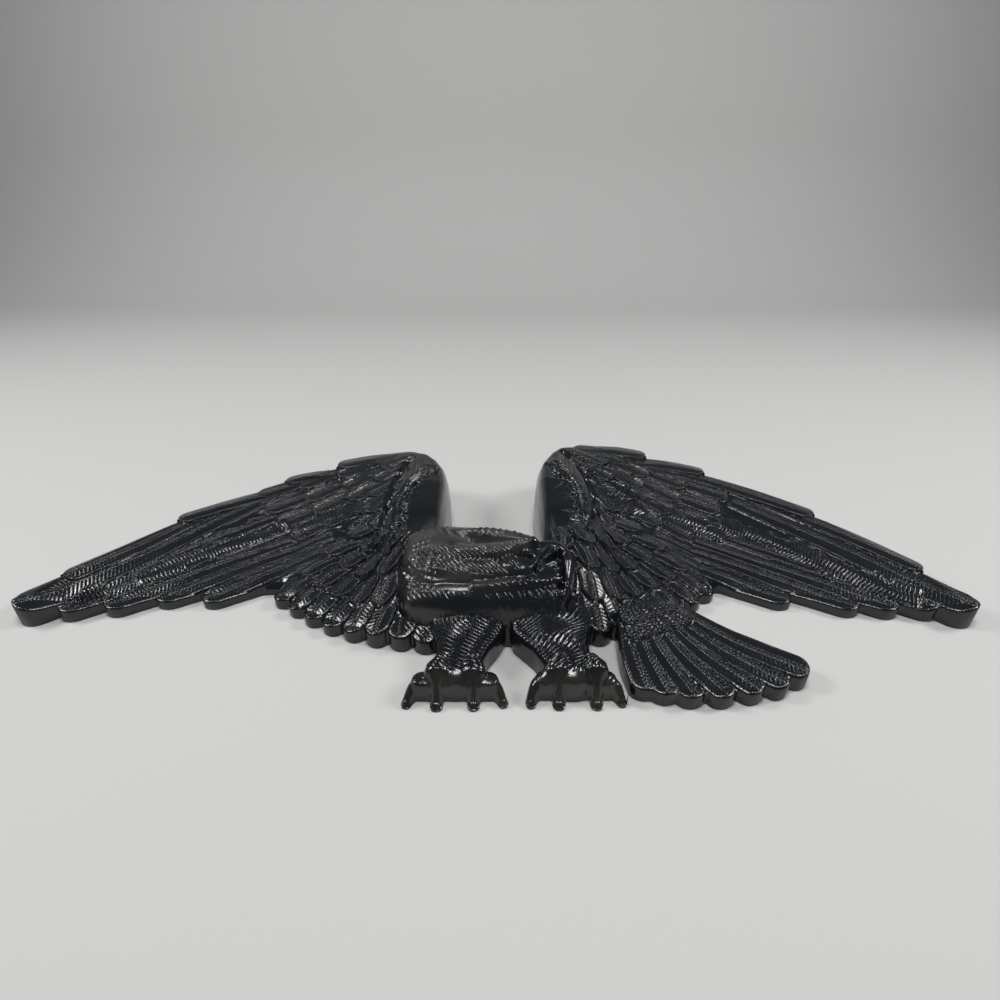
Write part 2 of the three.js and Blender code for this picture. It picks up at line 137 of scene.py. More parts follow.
def polygon_depth(corners, window):
    """Distance inside a closed outline, negative outside it."""
    x, z = X[window], Z[window]
    nearest = np.full(x.shape, 1e9)
    within = np.zeros(x.shape, bool)
    for (ax, az), (bx, bz) in zip(corners, corners[1:] + corners[:1]):
        dx, dz = bx - ax, bz - az
        share = np.clip(((x - ax) * dx + (z - az) * dz) / (dx * dx + dz * dz), 0, 1)
        nearest = np.minimum(nearest, np.hypot(x - ax - share * dx, z - az - share * dz))
        crosses = (az > z) != (bz > z)
        within ^= crosses & (x < ax + (z - az) / np.where(bz == az, 1e-9, bz - az) * dx)
    return np.where(within, nearest, -nearest)


def blur(field, radius):
    """The field with its corners rounded over about this many millimetres."""
    reach = int(3 * radius / GRAIN) + 1
    weight = np.exp(-0.5 * (np.arange(-reach, reach + 1) * GRAIN / radius) ** 2)
    weight /= weight.sum()
    for axis in (0, 1):
        field = np.moveaxis(field, axis, -1)
        padded = np.pad(field, [(0, 0), (reach, reach)], mode="edge")
        field = sum(w * padded[:, i:i + field.shape[1]] for i, w in enumerate(weight))
        field = np.moveaxis(field, -1, axis)
    return field


def lay(window, height, depth, **marks):
    """Lays one form on the relief. depth is the distance inside the form's outline."""
    cover = np.clip(depth / GRAIN + 0.5, 0, 1)
    rise = height - top[window]
    inside[window] = np.maximum(inside[window], depth)
    near = depth > -2.5 * GRAIN
    spill[window] = np.where(near, np.maximum(spill[window], height), spill[window])
    bare = top[window] < 0
    over = (cover > 0.5) & (rise > 0)
    lifted = top[window] + np.where(bare, 0, cover * np.maximum(rise, 0))
    top[window] = np.where(bare & (depth > 0), height, lifted)
    for name, field in cuts.items():
        field[window] = np.where(over, marks.get(name, 0.0), field[window])


def wing_plate(wing):
    """Lays a wing's plate with its rounded edge. Gives its window, its top without that edge, and its depth."""
    side = wing["side"]
    outline = wing["lead"] + [(a, z + 4) for a, z in wing["trail"][::-1]]
    left, right = (LEFT_END, 0) if side < 0 else (0, RIGHT_END)
    window = window_of((left, LOW_END), (right, HIGH_END))
    depth = polygon_depth([(side * a, z) for a, z in outline], window)
    a, z = np.abs(X[window]), Z[window]
    surface = blur(wing_ground(wing, a, z), 2)
    roll = mix(ARM_ROLL, RIM_ROLL, smooth((a - 48) / 26))
    edge = (1 - (1 - np.clip(depth / roll, 0, 1)) ** 3) ** (1 / 3)
    lay(window, surface * edge, depth)
    return window, surface, depth


def spline(points, count=40):
    """Points along a smooth curve through the given ones."""
    points = np.asarray(points, float)
    last = len(points) - 1
    t = np.linspace(0, last, count)
    i = np.minimum(t.astype(int), last - 1)
    u = (t - i)[:, None]
    p0, p1 = points[np.maximum(i - 1, 0)], points[i]
    p2, p3 = points[i + 1], points[np.minimum(i + 2, last)]
    a, b = (p2 - p0) / 2, (p3 - p1) / 2
    return (2 * p1 - 2 * p2 + a + b) * u ** 3 + (3 * p2 - 3 * p1 - 2 * a - b) * u ** 2 + a * u + p1


def follow(line, reach):
    """Distance along and across a curve, for the points of the relief within reach of it. The distance along runs
    on past both ends of the curve."""
    window = window_of(line.min(0) - reach, line.max(0) + reach)
    x, z = X[window], Z[window]
    nearest = np.full(x.shape, 1e9)
    s, t = np.zeros(x.shape), np.zeros(x.shape)
    start = 0.0
    last = len(line) - 2
    for i, ((ax, az), (bx, bz)) in enumerate(zip(line[:-1], line[1:])):
        dx, dz = bx - ax, bz - az
        length = math.hypot(dx, dz) or 1e-9
        share = ((x - ax) * dx + (z - az) * dz) / length ** 2
        share = np.clip(share, -99 if i == 0 else 0, 99 if i == last else 1)
        off_x, off_z = x - ax - share * dx, z - az - share * dz
        distance = np.hypot(off_x, off_z)
        closer = distance < nearest
        nearest[closer] = distance[closer]
        s[closer] = start + share[closer] * length
        t[closer] = (distance * np.where(off_z * dx - off_x * dz >= 0, 1, -1))[closer]
        start += length
    return window, s, t, start


def rolled(depth, radius):
    """How far a rounded edge falls below the form's top."""
    share = np.clip(1 - depth / radius, 0, 1)
    return radius * (1 - np.sqrt(1 - share * share))


def bowed(root, tip, bow):
    """Three points from a root to a tip, with the middle one pushed aside."""
    root, tip = np.array(root, float), np.array(tip, float)
    side = np.array([root[1] - tip[1], tip[0] - root[0]])
    return [root, (root + tip) / 2 + side / np.hypot(*side) * bow, tip]


FEATHER_CROWN, FEATHER_EDGE = 0.8, 1.2  # how much higher a feather is along its middle, and its edge's roundness


def feather(points, width, ground, lift, lip_side, cut, rim=1.0, lip=0.9, taper=0.7, tip=0.4, count=40):
    """One feather from its root to its rounded tip, with a beaded quill and rim and a lip over the next one."""
    window, s, t, length = follow(spline(points, count), width / 2 + 3)
    full = 0.5 * width * mix(taper, 1, np.clip(1.6 * s / length, 0, 1))
    left = length - s
    short = np.clip(1 - left / (width * tip), 0, 1)
    rounding = np.sqrt(1 - short ** 2)
    slope = full * short / (width * tip * np.maximum(rounding, 0.05))
    depth = np.minimum((full * rounding - np.abs(t)) / np.sqrt(1 + slope ** 2), np.minimum(s, left))
    q = np.clip(t / full, -1, 1)
    share = np.clip(s / length, 0, 1)
    height = ground(X[window], Z[window]) + mix(lift[0], lift[1], share) + FEATHER_CROWN * (1 - q * q)
    height = np.maximum(height + lip_side * lip * q, 3) - rolled(depth, FEATHER_EDGE)
    lay(window, height, depth, along=s, across=t, edge=np.minimum(depth, FAR), barb=cut, bead=rim)


def long_feathers(wing, ground):
    """The long feathers: four that end low, one over their roots, the wing tip's, and those of the leading edge."""
    side = wing["side"]
    roots = [(168, 84), (150, 74), (130, 70), (122, 56)]
    for tip, root in zip(wing["primary_tips"], roots):
        line = bowed((side * root[0], root[1]), (side * tip[0], tip[1]), side * 3)
        feather(line, 20, ground, lift=(0, 0), lip=0.8, lip_side=-side, cut=0.12, tip=0.6)
    between = bowed((side * 160, 112), (side * (wing["primary_tips"][0][0] - 2), 6), side * 4)
    feather(between, 22, ground, lift=(-0.6, -0.2), lip=0.8, lip_side=-side, cut=0.2)
    wing_tip = [(side * x, z) for x, z in wing["wing_tip"]]
    feather(wing_tip, 28, ground, lift=(0, 1), lip_side=-side, cut=0.2, tip=0.45)
    for edge, width, run_in in zip(wing["lead_edges"], (22, 20, 20, 20), (4, 40, 50, 60)):
        start, middle, end = (np.array(p, float) for p in edge)
        back = start - middle
        points = [start + back / np.hypot(*back) * run_in, start, middle, end]
        shifted = []
        for j, point in enumerate(points):
            direction = points[min(3, j + 1)] - points[max(0, j - 1)]
            direction /= np.hypot(*direction)
            shift = width / 2 + (7 if j == 0 else 0)
            shifted.append((side * (point[0] + direction[1] * shift), point[1] - direction[0] * shift))
        feather(shifted, width, ground, lift=(-1, 2), lip_side=-side, cut=0.25)


def feather_row(wing, ground, arc, count, length, width, turn, lift, **finish):
    """Overlapping feathers whose tips lie along an arc."""
    side = wing["side"]
    line = spline([(side * x, z) for x, z in arc], 100)
    run = np.concatenate([[0], np.cumsum(np.hypot(*np.diff(line, axis=0).T))])
    for t in np.linspace(0, 1, count):
        tip = np.array([np.interp(t * run[-1], run, line[:, 0]), np.interp(t * run[-1], run, line[:, 1])])
        angle, reach = math.radians(mix(turn[0], turn[1], t)), mix(length[0], length[1], t)
        root = tip + np.array([-side * math.cos(angle), math.sin(angle)]) * reach
        feather(bowed(root, tip, side * 2.5), width, ground, lift=lift, lip_side=-side, **finish)


def short_feathers(wing, ground):
    """The rows of short feathers: four up from the trailing edge, then three and two down from the arm."""
    for row in range(4):
        arc = [(x - (15, 9, 5, 2)[i] * row, z + (17, 19, 20, 21)[i] * row)
               for i, (x, z) in enumerate(wing["secondary_arc"])]
        feather_row(wing, ground, arc, 8 - row, (42 - 4 * row, 34 - 3 * row), 20 - row, (32, 84),
                    (0, 1.6 + 1.0 * row), cut=0.12, tip=0.62, lip=1.1)
    for row in range(3):
        arc = [(208 - 33 * row, 122 + 12 * row), (190 - 30 * row, 94 + 13 * row),
               (164 - 24 * row, 68 + 12 * row)]
        feather_row(wing, ground, arc, 4, (62 - 10 * row,) * 2, 21, (24 + 4 * row, 30 + 8 * row),
                    (0, 1.0 + 0.4 * row), cut=1.1, rim=0.8, lip=0.6)
    for row in range(2):
        arc = [(124 - 18 * row, 164 - 4 * row), (128 - 20 * row, 132 - 2 * row), (122 - 16 * row, 100),
               (112 - 12 * row, 66 + 2 * row)]
        feather_row(wing, ground, arc, 5, (34, 30), 18, (20, 58), (0, 1.2 + 0.4 * row), cut=1.1, rim=0.8,
                    lip=0.6)


def hatch(points, width, strength):
    """Strokes cut square across a curve, over whatever feathers it crosses."""
    window, s, t, length = follow(spline(points), width)
    uneven = 1.5 * np.sin(s / 4.3) + np.sin(s / 1.9 + 1) + 0.8 * np.sin(t / 1.7 + s / 9)
    part = smooth((width / 2 - np.abs(t) + uneven) / 3) * smooth(s / 5) * smooth((length - s) / 5)
    hatched = part > 0.02
    wavy = s + 0.02 * t * t + 0.8 * np.sin(t / 2.6 + s / 11)
    cuts["along"][window] = np.where(hatched, wavy, cuts["along"][window])
    for name in ("across", "edge"):
        cuts[name][window] = np.where(hatched, FAR, cuts[name][window])
    cuts["barb"][window] = np.where(hatched, strength * part, cuts["barb"][window])
    cuts["bead"][window] *= 1 - part


def carve(points, widths, deep):
    """Sinks a smooth round-bottomed groove along a curve."""
    window, s, t, length = follow(spline(points), max(widths))
    half = np.interp(s / length, np.linspace(0, 1, len(widths)), widths) / 2
    ends = smooth((s + 2) / 6) * smooth((length + 2 - s) / 6)
    share = np.clip(1 - (t / half) ** 2, 0, 1) ** 1.5 * ends
    top[window] -= np.where(top[window] > 0, deep * share, 0)
    for name in ("barb", "bead"):
        cuts[name][window] *= 1 - smooth(3 * share)


def arm_band(wing):
    """The band of hatched down along the arm, and the bare channel between it and the feathers."""
    side = wing["side"]
    carve([(side * x, z) for x, z in wing["groove"]], (7, 9, 9, 9, 8, 7), 3)
    line = [(side * x, z) for x, z in wing["band"]]
    window, s, t, length = follow(spline(line), 12)
    half = np.interp(s / length, [0, 0.3, 1], [7, 7, 4.5])
    depth = np.minimum(half - np.abs(t), np.minimum(s, length - s))
    top[window] += 1.6 * smooth((depth + 1.2 * np.sin(s * 1.9) + 0.9 * np.sin(s * 3.1 + 1)) / 3)
    hatch(line, 13, 1.3)


hollow = np.zeros(X.shape)  # how far the hollow back stands off the wall
WALL = 5.0  # the casting's thickness over the hollow
HOLLOW_ENDS, HOLLOW_START = 300, 62
for wing in (LEFT_WING, RIGHT_WING):
    def ground(x, z, wing=wing):
        return wing_ground(wing, x, z)

    window, surface, depth = wing_plate(wing)
    a = np.abs(X[window])
    pocket = np.minimum(np.minimum(depth - 7, HOLLOW_ENDS - a), a - HOLLOW_START)
    hollow[window] = np.maximum(hollow[window], np.clip(np.minimum(3 * pocket, surface - WALL - 4), 0, None))
    long_feathers(wing, ground)
    short_feathers(wing, ground)
    arm_band(wing)
    for line, width, strength in wing["hatched"]:
        hatch([(wing["side"] * x, z) for x, z in line], width, strength)

# The body and the head, cast with the wings: one rounded mass between them. The head looks to the viewer's right,
# with a scaly nape and crown, a brow that ends in a knob over the eye, and an open hooked beak. Down is cut on
# the cheek and the breast, and the throat is bare.
BODY_SPAN = (-68, 62)
BODY_ROOM = ((-92, -56), (92, 80))  # the part of the relief that the body takes
CORNER = 16
END_ROLL, TOP_ROLL, BREAST_ROLL = 12, 5, 20
BODY_LINES = [  # z and height at the left end, the middle and the right end
    ((33, 53, 19), (22, 29, 20)),
    ((29, 47, 18), (32, 42, 29)),
    ((22, 36, 11), (36, 45, 33)),
    ((12, 20, 3), (38, 47, 35)),
    ((0, -4, -6), (37, 46, 36)),
    ((-8, -13, -12), (35, 42, 35)),
    ((-14, -23, -18), (33, 41, 34)),
    ((-20, -32, -26), (30, 37, 31)),
    ((-22, -33, -29), (20, 22, 20)),
]


def blend_max(a, b, soft):
    """The higher of two surfaces, with a fillet where they meet."""
    overlap = np.maximum(soft - np.abs(a - b), 0)
    return np.maximum(a, b) + overlap * overlap / (4 * soft)


def through(values, q):
    """The height of a curve through three values, with q from -1 at the left end to 1 at the right."""
    left, middle, right = values
    return middle + (right - left) / 2 * q + ((right + left) / 2 - middle) * q * q


def body_mass():
    """The body by the lines that run along it, and the distance inside its outline."""
    window = window_of(*BODY_ROOM)
    height, depth = np.full(X.shape, NOWHERE), np.full(X.shape, NOWHERE)
    left, right = BODY_SPAN
    rows = z_line[window[0]]
    for x, column in zip(x_line[window[1]], range(window[1].start, window[1].stop)):
        q = np.clip(2 * (x - left) / (right - left) - 1, -1, 1)
        z = np.array([through(line[0], q) for line in BODY_LINES])[::-1]
        heights = np.array([through(line[1], q) for line in BODY_LINES])[::-1]
        height[window[0], column] = np.interp(rows, z, heights)
        from_end, from_side = min(x - left, right - x), np.minimum(rows - z[0], z[-1] - rows)
        corner = CORNER - np.hypot(np.maximum(CORNER - from_end, 0), np.maximum(CORNER - from_side, 0))
        depth[window[0], column] = np.where(corner < CORNER, corner, np.minimum(from_end, from_side))
    height[window] = blur(height[window], 2.5)
    return dict(height=height, depth=depth)


def mould(form, points, widths, heights, crown=3.0, soft=4.0):
    """Adds a rounded bar to a form, filleted into what it lies on."""
    window, s, t, length = follow(spline(points), 1.2 * max(widths))
    share = np.clip(s / length, 0, 1)
    half = np.interp(share, np.linspace(0, 1, len(widths)), widths) / 2
    high = np.interp(share, np.linspace(0, 1, len(heights)), heights)
    away = np.hypot(t, np.maximum(np.maximum(-s, s - length), 0))
    q = away / half
    fall = crown * (1 - np.sqrt(1 - 0.99 * np.minimum(q, 1) ** 2))
    bar = high - np.where(q < 1, fall, crown + 3 * half * (q - 1))
    form["height"][window] = blend_max(form["height"][window], bar, soft)
    form["depth"][window] = blend_max(form["depth"][window], half - away, soft)


def swell(form, at, radius, top_height, base, soft=5.0):
    """Adds a dome to a form."""
    window = window_of((at[0] - 1.3 * radius[0], at[1] - 1.3 * radius[1]),
                       (at[0] + 1.3 * radius[0], at[1] + 1.3 * radius[1]))
    r = np.hypot((X[window] - at[0]) / radius[0], (Z[window] - at[1]) / radius[1])
    dome = base + (top_height - base) * np.sqrt(np.clip(1 - r * r, 0, 1)) - 30 * np.maximum(r - 1, 0)
    form["height"][window] = blend_max(form["height"][window], dome, soft)


def sink(form, points, widths, deep):
    """Sinks a round-bottomed hollow along a curve of a form."""
    window, s, t, length = follow(spline(points), max(widths))
    share = np.clip(s / length, 0, 1)
    half = np.interp(share, np.linspace(0, 1, len(widths)), widths) / 2
    past = np.maximum(np.maximum(-s, s - length), 0)
    fall = np.interp(share, np.linspace(0, 1, len(deep)), deep)
    form["height"][window] -= fall * smooth(1 - np.hypot(t, past) / half)


body = body_mass()
swell(body, (-35, 20), (31, 32), 53.5, 34, 6)
mould(body, [(-30, 40), (-6, 36.5), (13, 30), (29, 20)], (10, 11, 10, 7), (48, 49.5, 51, 54))
mould(body, [(-42, 8), (-16, 9), (8, 10), (29, 16)], (12, 15, 13, 8), (49, 53, 55, 57), 4)
mould(body, [(-40, -4), (-14, -4), (12, -6)], (20, 21, 12), (46, 49, 48), 5, 5)
sink(body, [(-26, 31), (-12, 27), (2, 23), (16, 20)], (14, 16, 12, 7), (3, 7, 5, 2))
sink(body, [(-52, -10), (-24, -13), (4, -14)], (10, 12, 8), (1, 3, 2))
swell(body, (-36, -24), (30, 15), 41.5, 30)
mould(body, [(20, 2), (32, 9), (41, 16)], (26, 20, 13), (51, 50, 49), 4)
mould(body, [(24, -6), (36, -3), (45, 2)], (12, 20, 21), (45, 44, 43), 3, 2)
sink(body, [(50.5, 8), (51, 0), (50, -8), (46.5, -15)], (6, 7, 7, 6), (5, 6, 6, 5))
mould(body, [(37, 20), (45, 20), (51.5, 14), (54, 4), (54, -6), (52, -16), (49, -24)], (8, 8, 7, 6.5, 6, 5, 3),
      (50, 50, 49.5, 48, 46, 43, 40), 2.5, 1.5)
mould(body, [(-10, -18), (12, -17), (30, -14.5), (47, -10)], (9, 10, 9.5, 4), (43, 45, 44.5, 42), 4, 3.5)
sink(body, [(18, 6), (24, 5), (28, 2)], (9, 10, 7), (4, 6, 4))
swell(body, (24, 6.5), (3.4, 3.4), 54, 48, 1)
swell(body, (14, -3), (4, 6.5), 52.5, 47, 2)
swell(body, (30, 15.5), (5, 4.5), 55.5, 50, 1.5)
body_window = window_of(*BODY_ROOM)
ends = np.minimum(X[body_window] - BODY_SPAN[0], BODY_SPAN[1] - X[body_window])
under = smooth((5 - Z[body_window]) / 16)
body_depth = body["depth"][body_window]
body_top = body["height"][body_window] - 0.6 * rolled(ends, END_ROLL)
body_top -= mix(rolled(body_depth, TOP_ROLL), rolled(body_depth, BREAST_ROLL), under)
lay(body_window, body_top, body_depth)
pocket = 0.81 * body_depth - 4
roof = blur(body["height"][body_window], 4) - WALL - 7
hollow[body_window] = np.maximum(hollow[body_window], np.clip(np.minimum(3 * pocket, roof), 0, None))


def ridge(points, width, rise):
    """A fine raised line drawn on what is there."""
    window, s, t, length = follow(spline(points, 16), 2 * width)
    ends = smooth(s / 3) * smooth((length - s) / 3)
    top[window] += np.where(top[window] > 0, rise * ends * np.clip(1 - (2 * t / width) ** 2, 0, 1), 0)


# Scales in rows round the nape and along the crown
SCALE_RISE, SCALE_LONG, SCALE_WIDE = 1.4, 3.5, 4.4
SCALE_RINGS = [  # the centre, the least and greatest radius, and the angles between which there are scales
    ((-32, 16), 9, 40, 88, 262),
    ((2, -44), 72, 86, 62, 110),
]
x, z = X[body_window], Z[body_window]
bare = smooth((top[body_window] - body_top + 0.3) / 0.2) * smooth((body_depth - 3) / 3)
for centre, inner, outer, first, last in SCALE_RINGS:
    reach = np.hypot(x - centre[0], z - centre[1])
    angle = np.degrees(np.arctan2(z - centre[1], x - centre[0])) % 360
    row = np.floor(reach / SCALE_LONG)
    around = angle / 360 * np.round(2 * math.pi * row * SCALE_LONG / SCALE_WIDE) + 0.5 * row
    scale = (reach / SCALE_LONG - row) * (1 - (2 * (around - np.floor(around)) - 1) ** 2)
    within = smooth((reach - inner) / 3) * smooth((outer - reach) / 3) * smooth((angle - first) / 6)
    top[body_window] += SCALE_RISE * scale * within * smooth((last - angle) / 6) * bare

# Strokes of down on the brow, the cheek and the breast, which slant to the lower right
CHEEK_CUT, BREAST_CUT, BROW_CUT = 1.5, 1.1, 1.4
flow = 0.81 * x + 0.58 * z
broken_up = 0.65 + 0.35 * np.sin((0.58 * x - 0.81 * z) / 2.6 + 1.4 * np.sin(flow / 3.1))
cheek_low = np.interp(x, [-58, -42, -24, -7, 11, 20], [-2, -6, -10, -12, -13, -13])
cheek_high = np.interp(x, [-58, -40, -8, 24, 30], [6, 9, 8, 13, 15])
cheek = (smooth((z - cheek_low) / 3) * smooth((cheek_high + 3 - z) / 3) * smooth((x + 60) / 8)
         * smooth((21 - x) / 4))
brow = (smooth((z - cheek_high + 1) / 2) * smooth((cheek_high + 6 - z) / 2) * smooth((x - 2) / 6)
        * smooth((29 - x) / 3))
breast_high = np.interp(x, [-58, -24, 11, 44, 60], [-15, -21, -22, -19, -14])
breast = (smooth((breast_high - z) / 3) * smooth((z + 35 + 0.003 * x * x) / 3) * smooth((58 - x) / 4)
          * smooth((x + 62) / 8))
downy = cheek + brow + breast > 0.01
cuts["along"][body_window] = np.where(downy, flow, cuts["along"][body_window])
for name in ("across", "edge"):
    cuts[name][body_window] = np.where(downy, FAR, cuts[name][body_window])
strokes = (CHEEK_CUT * cheek + BREAST_CUT * breast) * broken_up + BROW_CUT * brow
cuts["barb"][body_window] = np.maximum(cuts["barb"][body_window], strokes)
BREAST_LOCKS = 13
for i in range(BREAST_LOCKS):
    share = i / (BREAST_LOCKS - 1)
    x, z, long = mix(-4, 47, share), mix(-19, -13, share), 1 + 0.2 * math.sin(2.4 * i)
    ridge([(x, z), (x + 7 * long, z - 4 * long), (x + 13 * long, z - 12 * long)], 2.8, 1.3)
# Fine lines of the beak: two round the cere, one inside the arch, and three that fan out in the open mouth
for lines in (
    [(29, -7), (35, 5), (42, 16)], [(31.5, -8), (38, 5), (45, 16)], [(32, -8), (42, 8), (49, 13), (51, 8)],
    [(29, -10), (38, -1), (47, 6)], [(29, -10), (38, -4), (47.5, 0)], [(29, -10.5), (38, -7), (47, -6)],
):
    ridge(lines, width=2.3, rise=1.9)

# The legs and feet, solid in the casting: thighs with cut down, and feet that are bars with an upright front, four
# toes over each bar and four talons that run down to the wall. The talons' paint is worn and brown.
THIGH_HEIGHT = 23
FOOT_HEIGHT = 20
LIMB_ROOM = ((-70, -94), (94, 0))  # the part of the relief that the legs take
limbs = dict(height=np.full(X.shape, NOWHERE), depth=np.full(X.shape, NOWHERE))


def thigh(points, widths):
    mould(limbs, points, widths, (28, THIGH_HEIGHT + 1, THIGH_HEIGHT, THIGH_HEIGHT - 3), 8, 5)


def foot(front, ends, inward, knuckles):
    """front is where the web between the toes stands at its top, and ends are where the talons meet the wall."""
    mould(limbs, [(ends[0][0] + 9, front + 6), (ends[3][0] - 9, front + 6)], (12, 12), (14.5, 14.5), 2, 2)
    for i, ((x, z), rise) in enumerate(zip(ends, knuckles)):
        turn = 1 if i == 0 else -1
        if i in (0, 3):
            points = [(x + turn * inward, front + 9), (x + turn * 11, front + 7), (x + turn * 4, front + 4),
                      (x + turn * 0.5, front - 1), (x, z)]
            rises, widths = (0, rise, rise - 4, -9, -15.5), (12, 14, 12, 8, 6.5)
        else:
            points = [(x + (2 if i == 1 else -2), front + 16), (x, front + 9), (x, front + 4), (x, front - 0.5),
                      (x, z)]
            rises, widths = (2, rise, rise, -4, -15.5), (12, 16, 15, 7.5, 8)
        mould(limbs, points, widths, [FOOT_HEIGHT + r for r in rises], 7, 1.5)


thigh([(-16, -16), (-16, -34), (-18, -50), (-21, -66)], (52, 50, 35, 27))
thigh([(38, -16), (42, -34), (46, -50), (51, -66)], (56, 55, 37, 29))
foot(-80, [(-51, -83), (-32.5, -84.5), (-10, -84), (8, -82.5)], 22, (-2, 2.5, 1.5, -2))
foot(-79, [(25, -83), (42, -83.5), (65, -83.5), (80.5, -82)], 16, (-1.5, 2, 3, -3))
limb_window = window_of(*LIMB_ROOM)
x, z = X[limb_window], Z[limb_window]
arcs = np.where(x < 14, np.hypot(x - 4, z + 16), 0.66 * x - 0.75 * z + 1.5 * np.sin(z / 4))
limb_depth = limbs["depth"][limb_window]
down = smooth((z + 74) / 4) * smooth((limb_depth - 1) / 3)
lay(limb_window, limbs["height"][limb_window] - rolled(limb_depth, 1.5), limb_depth, along=arcs, across=FAR,
    edge=FAR, barb=1.1 * down)

# The tail, solid in the casting: seven feathers fanned to the viewer's right, with two rows of small ones over
# their roots.
TAIL_HEIGHT = 11
TAIL_TIPS = [(97, -80), (110, -83), (126, -85), (146, -84), (166, -80), (184, -75), (200, -66)]


def tail_ground(x, z):
    return mix(TAIL_HEIGHT - 2, TAIL_HEIGHT + 8, np.clip((z + 80) / 60, 0, 1))


for i, tip in enumerate(TAIL_TIPS):
    share = i / 6
    root = (mix(93, 121, share), mix(-20, -11, share))
    feather(bowed(root, tip, mix(-2, -5, share)), 20, tail_ground, lift=(1, 0), lip_side=-1, cut=0.15, taper=0.6)
for row in range(2):
    for i in range(6 - row):
        share = (i + 0.5 * row) / 5
        tip = (mix(97, 134, share) - 5 * row, mix(-46, -31, share) + 10 * row)
        root = (tip[0] - mix(3, 14, share), tip[1] + 18)
        feather(bowed(root, tip, -1), 13, tail_ground, lift=(3, 3.5 + row), lip_side=-1, cut=0.9, count=10)

# The back is cast hollow behind the wings and the body, with a flat rim on the wall and a hanging pad behind the
# breast. The pad has a blind keyhole: the screw's head goes in below and its neck slides up the slot.
PAD = dict(left=-17, right=17, bottom=-14, top=28)
KEYHOLE = dict(head=4.5, neck=2.2, bottom=11, top=21, depth=7)
beside_pad = np.maximum(np.maximum(PAD["left"] - X, X - PAD["right"]),
                        np.maximum(PAD["bottom"] - Z, Z - PAD["top"]))
hollow = np.minimum(hollow, np.maximum(0, 6 * beside_pad))
slot = np.hypot(X, Z - np.clip(Z, KEYHOLE["bottom"], KEYHOLE["top"])) - KEYHOLE["neck"]
mouth = np.hypot(X, Z - KEYHOLE["bottom"]) - KEYHOLE["head"]
opening = np.clip(0.5 - np.minimum(slot, mouth) / GRAIN, 0, 1)
hollow = np.maximum(hollow, KEYHOLE["depth"] * opening)

# The casting's skin: the relief and its hollow back in one closed surface of iron or aluminium. The walls along
# its outline run straight back to the wall plane, as they leave the mould.
SKIN_TRIANGLES = 194000
STEEPEST = 1.9  # the rise of a slope on which nothing is cut
top = np.where(top < 0, spill, top)
inside = blur(np.maximum(inside, -6), 0.6)
rise = np.hypot(*np.gradient(blur(top, 0.7), GRAIN))
for name in ("barb", "bead"):
    cuts[name] *= smooth((STEEPEST - rise) / 0.7)
used = inside > 0
cells = used[:-1, :-1] | used[1:, :-1] | used[:-1, 1:] | used[1:, 1:]
gz, gx = np.gradient(inside, GRAIN)
steep = np.maximum(gx * gx + gz * gz, 0.25)
outside = np.minimum(inside, 0)
px, pz = X - outside * gx / steep, Z - outside * gz / steep
(low_x, _, low_z), (high_x, _, high_z) = [[1000 * v for v in corner] for corner in cad_box]
px, pz = np.clip(px, low_x, high_x), np.clip(pz, low_z, high_z)
needed = np.zeros(X.shape, bool)
for dz in (0, 1):
    for dx in (0, 1):
        needed[dz:dz + cells.shape[0], dx:dx + cells.shape[1]] |= cells
number = np.full(X.shape, -1)
number[needed] = np.arange(needed.sum())
count = int(needed.sum())
front = np.stack([px[needed], -np.maximum(top[needed], 1.0), pz[needed]], 1)
back = np.stack([px[needed], -np.where(used, hollow, 0)[needed], pz[needed]], 1)
corner = [number[:-1, :-1][cells], number[:-1, 1:][cells], number[1:, 1:][cells], number[1:, :-1][cells]]
front_faces = np.stack(corner, 1)
back_faces = np.stack(corner[::-1], 1) + count
padded = np.pad(cells, 1)
walls = []
for near, (a, b) in (
    (padded[:-2, 1:-1], ((0, 0), (0, 1))), (padded[1:-1, 2:], ((0, 1), (1, 1))),
    (padded[2:, 1:-1], ((1, 1), (1, 0))), (padded[1:-1, :-2], ((1, 0), (0, 0))),
):
    row, column = np.nonzero(cells & ~near)
    first, second = number[row + a[0], column + a[1]], number[row + b[0], column + b[1]]
    walls.append(np.stack([second, first, first + count, second + count], 1))
faces = np.concatenate([front_faces, back_faces] + walls)

skin = bpy.data.meshes.new("skin")
skin.vertices.add(2 * count)
skin.vertices.foreach_set("co", (np.concatenate([front, back]) / 1000).astype(np.float32).ravel())
skin.loops.add(faces.size)
skin.loops.foreach_set("vertex_index", faces.ravel().astype(np.int32))
skin.polygons.add(len(faces))
skin.polygons.foreach_set("loop_start", np.arange(0, faces.size, 4, dtype=np.int32))
skin.update(calc_edges=True)
off_rim = smooth((inside - 1.5) / 1.5)
nape_dust = smooth((X + 66) / 8) * smooth((30 - X) / 6) * smooth((Z - 2) / 10) * smooth((52 - Z) / 6)
cheek_dust = (0.5 * smooth((X + 62) / 8) * smooth((20 - X) / 12) * smooth((Z + 26) / 8)
              * smooth((20 - Z) / 6))
worn = smooth((-70 - Z) / 10) * smooth((90 - X) / 8)
painted = {
    "along": cuts["along"], "across": cuts["across"], "edge": cuts["edge"], "barb": cuts["barb"] * off_rim,
    "bead": cuts["bead"] * off_rim, "dust": np.maximum(nape_dust, cheek_dust), "worn": worn,
}
for name, field in painted.items():
    values = np.concatenate([field[needed], np.zeros(count)]).astype(np.float32)
    skin.attributes.new(name, "FLOAT", "POINT").data.foreach_set("value", values)
eagle = bpy.data.objects.new("eagle_casting", skin)
bpy.context.collection.objects.link(eagle)

